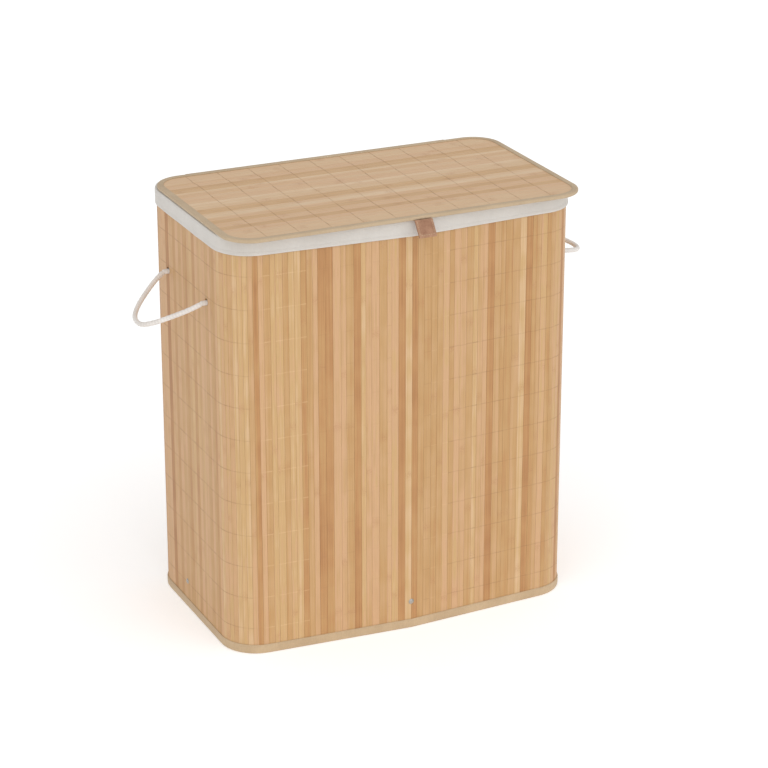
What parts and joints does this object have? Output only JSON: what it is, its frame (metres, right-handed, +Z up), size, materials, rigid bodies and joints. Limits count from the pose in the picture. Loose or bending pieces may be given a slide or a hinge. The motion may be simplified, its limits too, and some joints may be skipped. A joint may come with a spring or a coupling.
{
  "type": "laundry hamper",
  "caption": "Rectangular bamboo-slat laundry hamper with rounded corners, a cloth-hinged slat lid with a leather pull tab, a cotton liner and rope side handles",
  "frame": {"origin": "on the floor at the middle of the base, halfway across the width and halfway between the side walls' straight parts; the folded front stands a little further forward", "axes": "+Z up, +X to the right when facing the front, +Y toward the back; the pull tab is on the front, at -Y"},
  "size_m": [0.6829, 0.3445, 0.6084],
  "materials": {
    "bamboo": "thin bamboo slats glued side by side, each its own tone from pale cream to orange-brown, satin",
    "lid_bamboo": "thin bamboo slats laid along the lid, satin",
    "binding_tape": "woven khaki tape, folded over an edge and stitched",
    "backing_cloth": "plain woven cloth",
    "board": "thin fibreboard",
    "liner_cotton": "off-white plain-woven cotton with a hemmed edge",
    "frame_wire": "round steel wire, cream powder coat",
    "rivet_metal": "small domed steel rivet",
    "cotton_rope": "white twisted cotton rope",
    "leather": "brown imitation leather, matt, folded double and stitched"
  },
  "bodies": {
    "hamper": {"slats_front_left": "bamboo", "slats_front_right": "bamboo", "slats_back": "bamboo", "slats_left": "bamboo", "slats_right": "bamboo", "slats_corner_front_left": "bamboo", "slats_corner_front_right": "bamboo", "slats_corner_back_left": "bamboo", "slats_corner_back_right": "bamboo", "wall_cloth": "backing_cloth", "bottom_tape": "binding_tape", "top_tape": "binding_tape", "base_cover": "backing_cloth", "base_board": "board", "liner_bag": "liner_cotton", "liner_cuff": "liner_cotton", "wire_ring_low": "frame_wire", "wire_ring_high": "frame_wire", "post_front_left": "frame_wire", "post_front_right": "frame_wire", "post_back_left": "frame_wire", "post_back_right": "frame_wire", "rivet_front": "rivet_metal", "rivet_back": "rivet_metal", "rivet_left": "rivet_metal", "rivet_right": "rivet_metal", "rope_end_left_front": "cotton_rope", "rope_end_left_back": "cotton_rope", "rope_end_right_front": "cotton_rope", "rope_end_right_back": "cotton_rope", "hinge_leaf_rim": "backing_cloth"},
    "lid": {"lid_board": "board", "lid_slats": "lid_bamboo", "lid_tape": "binding_tape", "hinge_leaf_lid": "backing_cloth", "tab_tongue": "leather"},
    "tab": {"pull_tab": "leather"},
    "left_handle": {"rope_left": "cotton_rope"},
    "right_handle": {"rope_right": "cotton_rope"}
  },
  "joints": [
    {"name": "lid_hinge", "type": "hinge", "parent": "hamper", "child": "lid", "pos_m": [0, 0.137, 0.6029], "axis": [-1, 0, 0], "range_deg": [0, 100]},
    {"name": "tab_swing", "type": "hinge", "parent": "lid", "child": "tab", "pos_m": [0.0105, -0.1754, 0.603], "axis": [-1, 0, 0], "range_deg": [-30, 115]},
    {"name": "left_handle_swing", "type": "hinge", "parent": "hamper", "child": "left_handle", "pos_m": [-0.266, 0, 0.494], "axis": [0, 1, 0], "range_deg": [-60, 108]},
    {"name": "right_handle_swing", "type": "hinge", "parent": "hamper", "child": "right_handle", "pos_m": [0.266, 0, 0.494], "axis": [0, -1, 0], "range_deg": [-68, 100]}
  ]
}
